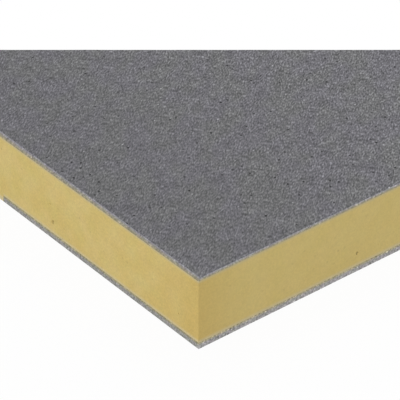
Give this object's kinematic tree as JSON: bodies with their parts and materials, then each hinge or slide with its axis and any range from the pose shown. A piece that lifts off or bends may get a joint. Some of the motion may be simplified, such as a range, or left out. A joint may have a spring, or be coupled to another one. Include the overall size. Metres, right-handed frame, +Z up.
{
  "type": "facade insulation board",
  "caption": "Flat rectangular board of rigid yellow foam faced on both sides with grey mineral-coated fleece, square edged, for insulating an outside wall.",
  "frame": {"origin": "middle of the underside of the lower facing, at the bottom of the lying board", "axes": "+X along the length, +Y across the width, +Z up through the thickness, from the lower to the upper facing"},
  "size_m": [1.2, 0.6, 0.04],
  "materials": {
    "foam": "sawn rigid foam, matt, fine closed cells",
    "upper_facing": "mineral-coated fleece, matt, fine grained, dark grey with a paler cut edge",
    "lower_facing": "mineral-coated fleece, matt, fine grained, mid grey"
  },
  "bodies": {
    "root": {"foam_core": "foam", "upper_facing": "upper_facing", "lower_facing": "lower_facing"}
  },
  "joints": []
}
